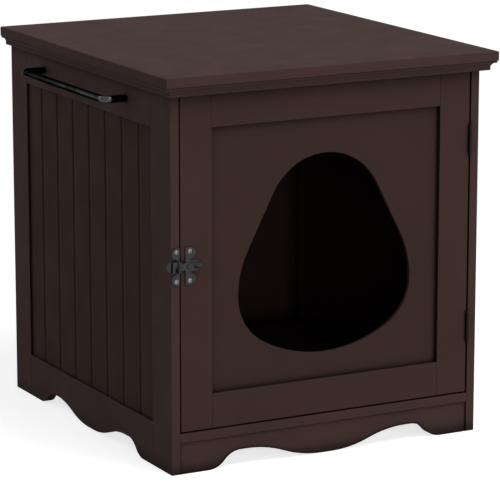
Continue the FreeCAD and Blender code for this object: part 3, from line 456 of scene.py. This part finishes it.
def add_screw(maker, seat, into, turn, kind, length):
    """One screw; seat is the middle of its head where the face is, into points along it."""
    head_radius, dome, cone, shank = kind
    spin = Matrix.Rotation(turn, 3, into)
    across = into.orthogonal().normalized()
    across, along = spin @ across, spin @ into.cross(across)
    turns = [2 * math.pi * step / TURN_STEPS for step in range(TURN_STEPS)]

    def corner(u, v, down):
        return maker.verts.new(seat + across * u + along * v + into * down)

    def head_corner(u, v):
        crown = -dome * (1.0 - (math.hypot(u, v) / head_radius) ** 2)
        return corner(u, v, crown + cross_recess(u, v, head_radius))

    middle = head_corner(0.0, 0.0)
    rings = []
    for count in range(1, HEAD_RINGS + 1):
        radius = head_radius * count / HEAD_RINGS
        rings.append([head_corner(radius * math.cos(angle), radius * math.sin(angle))
                      for angle in turns])
    for radius, down in shank_profile(head_radius, dome, cone, shank, length):
        rings.append([corner(radius * math.cos(angle), radius * math.sin(angle), down)
                      for angle in turns])
    tip = corner(0.0, 0.0, length)
    for i in range(TURN_STEPS):
        j = (i + 1) % TURN_STEPS
        maker.faces.new((middle, rings[0][i], rings[0][j]))
        maker.faces.new((tip, rings[-1][j], rings[-1][i]))
    for near, far in zip(rings, rings[1:]):
        bridge(maker, near, far)


def screw_set(name, node, material, body, into, kind):
    """All the screws of one node, each at its own turn."""
    maker = bmesh.new()
    into = Vector(into)
    axis = max(range(3), key=lambda i: abs(into[i]))
    dome = kind[1]
    for count, (low, high) in enumerate(solid_boxes(node)):
        seat = (low + high) / 2
        head_end = low[axis] if into[axis] > 0 else high[axis]
        seat[axis] = head_end + dome * into[axis]
        length = (high - low)[axis] - dome
        add_screw(maker, seat, into, FIRST_TURN + NEXT_TURN * count, kind, length)
    finish_piece(name, maker, material, body, node, HEAD_CREASE)


# ---- Latch pivot --------------------------------------------------------------------
RIVET_HEAD = 0.0029           # radii
RIVET_SHANK = 0.0016
RIVET_COLLAR = 0.0027
RIVET_EASE = 0.0001
RIVET_CROWN = 0.0016          # distances from the front of the head
COLLAR_START = 0.0038
COLLAR_END = 0.0050
# (radius, distance) from the middle of the dimple over the round of the head
RIVET_DOME = ((0.0, 0.00035), (0.0006, 0.00015), (0.0011, 0.00006), (0.0017, 0.0003),
              (0.0023, 0.0007), (0.0027, 0.0012))


def pivot_rivet(material):
    """A turned rivet: a round head with a small dimple, a shank and a collar."""
    low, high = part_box("latch_pivot_rivet")
    length = (high - low).y
    profile = [*RIVET_DOME,
               (RIVET_HEAD, RIVET_CROWN - RIVET_EASE), (RIVET_HEAD - RIVET_EASE, RIVET_CROWN),
               (RIVET_SHANK, RIVET_CROWN), (RIVET_SHANK, COLLAR_START),
               (RIVET_COLLAR - RIVET_EASE, COLLAR_START),
               (RIVET_COLLAR, COLLAR_START + RIVET_EASE),
               (RIVET_COLLAR, COLLAR_END - RIVET_EASE), (RIVET_COLLAR - RIVET_EASE, COLLAR_END),
               (RIVET_SHANK, COLLAR_END), (RIVET_SHANK, length), (0.0, length)]
    axis = Vector((0, 1, 0))
    across = axis.orthogonal().normalized()
    along = axis.cross(across)
    base = Vector(((low.x + high.x) / 2, low.y, (low.z + high.z) / 2))
    turns = [2 * math.pi * step / TURN_STEPS for step in range(TURN_STEPS)]
    maker = bmesh.new()
    front, back = (maker.verts.new(base + axis * profile[end][1]) for end in (0, -1))
    rings = [[maker.verts.new(base + axis * far + across * (radius * math.cos(angle))
                              + along * (radius * math.sin(angle)))
              for angle in turns]
             for radius, far in profile[1:-1]]
    for i in range(TURN_STEPS):
        j = (i + 1) % TURN_STEPS
        maker.faces.new((front, rings[0][j], rings[0][i]))
        maker.faces.new((back, rings[-1][i], rings[-1][j]))
    for near, far in zip(rings, rings[1:]):
        bridge(maker, near, far)
    finish_piece("pivot_rivet", maker, material, "door", "latch_pivot_rivet")


# ---- Towel bar ----------------------------------------------------------------------
BAR_BEND = 0.010              # radius of the bends, at the middle of the rod
BAR_END_EASE = 0.0003         # how much thinner the rod's ends are,
BAR_END_REACH = 0.0004        # over this length
BEND_STEPS = 12
ROD_STEPS = 36


def bar_tube(material):
    """Bent rod: two legs and a long run, with its ends eased where they meet the rail."""
    low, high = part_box("towel_bar")
    radius = (high.z - low.z) / 2
    z = (low.z + high.z) / 2
    near_y, far_y = low.y + radius, high.y - radius
    bend_x = low.x + radius + BAR_BEND
    out, up = Vector((-1, 0, 0)), Vector((0, 0, 1))
    path = [(Vector((high.x, near_y, z)), out),
            (Vector((high.x - BAR_END_REACH, near_y, z)), out)]
    bends = ((Vector((bend_x, near_y + BAR_BEND, z)), -90.0, -180.0),
             (Vector((bend_x, far_y - BAR_BEND, z)), 180.0, 90.0))
    for centre, start, end in bends:
        for step in range(BEND_STEPS + 1):
            angle = math.radians(start + (end - start) * step / BEND_STEPS)
            outward = Vector((math.cos(angle), math.sin(angle), 0))
            path.append((centre + outward * BAR_BEND, Vector((outward.y, -outward.x, 0))))
    path += [(Vector((high.x - BAR_END_REACH, far_y, z)), -out),
             (Vector((high.x, far_y, z)), -out)]
    maker = bmesh.new()
    rings = []
    for count, (middle, ahead) in enumerate(path):
        size = radius - (BAR_END_EASE if count in (0, len(path) - 1) else 0)
        beside = ahead.cross(up).normalized()
        turns = [2 * math.pi * step / ROD_STEPS for step in range(ROD_STEPS)]
        rings.append([maker.verts.new(middle + beside * (size * math.cos(angle))
                                      + up * (size * math.sin(angle)))
                      for angle in turns])
    for near, far in zip(rings, rings[1:]):
        bridge(maker, near, far)
    maker.faces.new(list(reversed(rings[0])))
    maker.faces.new(rings[-1])
    finish_piece("bar_tube", maker, material, "cabinet", "towel_bar", ROD_CREASE)


# ---- Stage --------------------------------------------------------------------------
def backdrop_rays(tree):
    """1 for rays that should see a white background: from the camera, or by gloss or glass."""
    rays = tree.nodes.new("ShaderNodeLightPath")
    total = rays.outputs["Is Camera Ray"]
    for kind in ("Is Glossy Ray", "Is Transmission Ray"):
        larger = tree.nodes.new("ShaderNodeMath")
        larger.operation = "MAXIMUM"
        tree.links.new(total, larger.inputs[0])
        tree.links.new(rays.outputs[kind], larger.inputs[1])
        total = larger.outputs["Value"]
    return total


def make_floor():
    """A pale floor that keeps the shadow near the object and turns white further out."""
    mesh = bpy.data.meshes.new("floor")
    maker = bmesh.new()
    bmesh.ops.create_grid(maker, x_segments=1, y_segments=1, size=FLOOR_REACH)
    maker.to_mesh(mesh)
    maker.free()
    floor = bpy.data.objects.new("floor", mesh)
    bpy.context.scene.collection.objects.link(floor)

    paper = Paper("studio_floor")
    paper.constant(Base_Color=FLOOR_COLOUR, Roughness=1.0, Specular_IOR_Level=0.0)
    lit = paper.shader.outputs["BSDF"]
    glow = paper.add("ShaderNodeEmission", Strength=FLOOR_GLOW)
    white = paper.add("ShaderNodeEmission", Strength=1.0)
    lifted = paper.add("ShaderNodeAddShader")
    paper.join(lit, lifted.inputs[0])
    paper.join(glow.outputs["Emission"], lifted.inputs[1])

    distance = paper.add("ShaderNodeVectorMath", operation="LENGTH")
    paper.join(paper.place, distance.inputs[0])
    outward = paper.ramp(distance.outputs["Value"], SHADOW_REACH, WHITE_REACH, 0.0, 1.0, True)
    fading = paper.add("ShaderNodeMixShader")
    paper.join(outward, fading.inputs["Fac"])
    paper.join(lifted.outputs["Shader"], fading.inputs[1])
    paper.join(white.outputs["Emission"], fading.inputs[2])

    choice = paper.add("ShaderNodeMixShader")
    paper.join(backdrop_rays(paper.tree), choice.inputs["Fac"])
    paper.join(lit, choice.inputs[1])
    paper.join(fading.outputs["Shader"], choice.inputs[2])
    paper.join(choice.outputs["Shader"], paper.tree.nodes["Material Output"].inputs["Surface"])
    mesh.materials.append(paper.material)


def make_world():
    """A faint even light on the object, and white where the background is seen."""
    world = bpy.data.worlds.new("studio")
    bpy.context.scene.world = world
    world.use_nodes = True
    tree = world.node_tree
    light = tree.nodes["Background"]
    white = tree.nodes.new("ShaderNodeBackground")
    for node, strength in ((light, WORLD_LIGHT), (white, 1.0)):
        node.inputs["Color"].default_value = WHITE
        node.inputs["Strength"].default_value = strength
    mix = tree.nodes.new("ShaderNodeMixShader")
    tree.links.new(backdrop_rays(tree), mix.inputs["Fac"])
    tree.links.new(light.outputs["Background"], mix.inputs[1])
    tree.links.new(white.outputs["Background"], mix.inputs[2])
    tree.links.new(mix.outputs["Shader"], tree.nodes["World Output"].inputs["Surface"])


def make_lamp(name, place, size, power):
    """A round soft lamp that faces the object."""
    lamp = bpy.data.lights.new(name, "AREA")
    lamp.shape = "DISK"
    lamp.size = size
    lamp.energy = power
    holder = bpy.data.objects.new(name, lamp)
    holder.location = place
    ahead = Vector(LIGHT_TARGET) - holder.location
    holder.rotation_euler = ahead.to_track_quat("-Z", "Y").to_euler()
    bpy.context.scene.collection.objects.link(holder)


def make_camera():
    data = bpy.data.cameras.new("camera")
    data.sensor_width = SENSOR_WIDTH
    data.lens = FOCAL_LENGTH
    camera = bpy.data.objects.new("camera", data)
    camera.location = CAMERA_PLACE
    tilt, turn = math.radians(90 - CAMERA_ELEVATION), math.radians(CAMERA_AZIMUTH)
    camera.rotation_euler = (tilt, 0, turn)
    bpy.context.scene.collection.objects.link(camera)
    bpy.context.scene.camera = camera


# ---- Put together -------------------------------------------------------------------
# body, paint, the boards that get eased edges
BOARDS = (
    ("cabinet", "top_paint", ("top_panel",)),
    ("cabinet", "painted_board", (
        "front_moulding", "left_moulding", "right_moulding",
        "left_front_stile", "left_rear_stile", "left_top_rail", "left_bottom_rail",
        "right_front_stile", "right_rear_stile", "right_top_rail", "right_bottom_rail",
        "floor_panel", "front_apron", "back_panel")),
    ("door", "door_paint", (
        "door_latch_stile", "door_hinge_stile", "door_top_rail", "door_bottom_rail")),
    ("door", "panel_paint", ("door_panel",)),
)
# name, node, body, rounding
LATCH_PIECES = (
    ("strike_plate", "latch_strike_plate", "cabinet", PLATE_EASE),
    ("base_plate", "latch_base_plate", "door", PLATE_EASE),
    ("keeper_post", "latch_keeper", "cabinet", ARM_EASE),
    ("swing_arm", "latch_arm", "latch_arm", ARM_EASE),
)
# name, node, material, body, slot, direction, kind
SCREWS = (
    ("strike_screws", "latch_strike_screws",
     "screw_steel", "cabinet", "latch_metal", (0, 1, 0), PLATE_SCREW),
    ("base_screws", "latch_base_screws",
     "screw_steel", "door", "latch_metal", (0, 1, 0), PLATE_SCREW),
    ("frame_leaf_screws", "hinge_cabinet_screws",
     "screw_steel", "cabinet", "hinge_metal", (1, 0, 0), HINGE_SCREW),
    ("door_leaf_screws", "hinge_door_screws",
     "screw_steel", "door", "hinge_metal", (-1, 0, 0), HINGE_SCREW),
    ("rail_screws", "stretcher_screws",
     "zinc_fittings", "cabinet", "zinc_fittings", (0, 0, 1), WOOD_SCREW),
    ("stop_screws", "door_stop_screws",
     "zinc_fittings", "cabinet", "zinc_fittings", (0, 0, 1), WOOD_SCREW),
    ("bar_screws", "towel_bar_screws",
     "zinc_fittings", "cabinet", "zinc_fittings", (-1, 0, 0), BAR_SCREW),
)

make_camera()
materials = make_materials()
dress_nodes(materials)

for body, paint, boards in BOARDS:
    for board in boards:
        set_back = APRON_SET_BACK if board == "front_apron" else 0.0
        softened("eased_" + board, board, materials[paint], body, EASE, set_back)

latch, hinge = materials["latch_metal"], materials["hinge_metal"]
for name, node, body, ease in LATCH_PIECES:
    softened(name, node, latch, body, ease)
pivot_rivet(latch)
for level in ("upper", "lower"):
    for leaf, side, body in (("frame", "cabinet", "cabinet"), ("door", "door", "door")):
        softened(f"{level}_{leaf}_leaf", f"{level}_hinge_{side}_leaf", hinge, body,
                 LEAF_EASE)
for name, node, material, body, slot, into, kind in SCREWS:
    screw_set(name, node, materials[material], body, into, kind)
bar_tube(materials["black_steel"])

make_floor()
make_world()
for name, (place, size, power) in LAMPS.items():
    make_lamp(name, place, size, power)

bpy.context.scene.view_settings.view_transform = "Standard"
